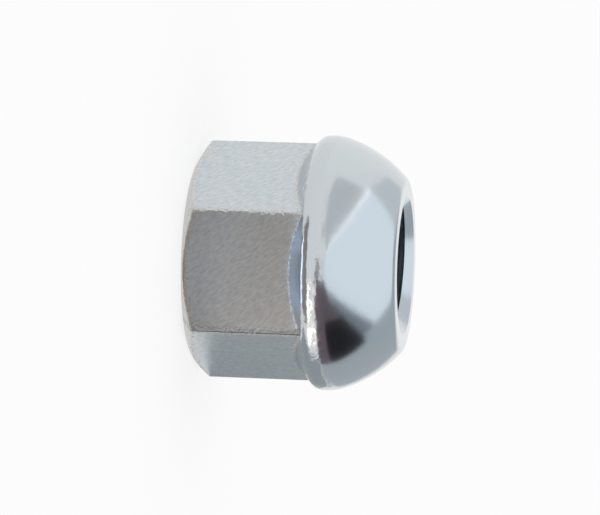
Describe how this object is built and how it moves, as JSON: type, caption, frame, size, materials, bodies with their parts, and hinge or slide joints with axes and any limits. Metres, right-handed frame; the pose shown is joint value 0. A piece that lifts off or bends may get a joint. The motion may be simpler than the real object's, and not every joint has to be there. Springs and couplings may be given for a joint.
{
  "type": "lug nut",
  "caption": "Open-ended hexagonal wheel nut with a round collar and a ball seat, threaded right through, for clamping a wheel to a stud.",
  "frame": {"origin": "centre of the hexagon end face, on the thread axis", "axes": "+Z along the thread axis towards the ball seat, -Y square out of one flat of the hexagon"},
  "size_m": [0.0232, 0.0232, 0.019],
  "materials": {
    "zinc_plated_steel": "bright zinc plate with a clear blue-white passivate, over cold-forged steel"
  },
  "bodies": {
    "root": {"lug_nut": "zinc_plated_steel"}
  },
  "joints": []
}
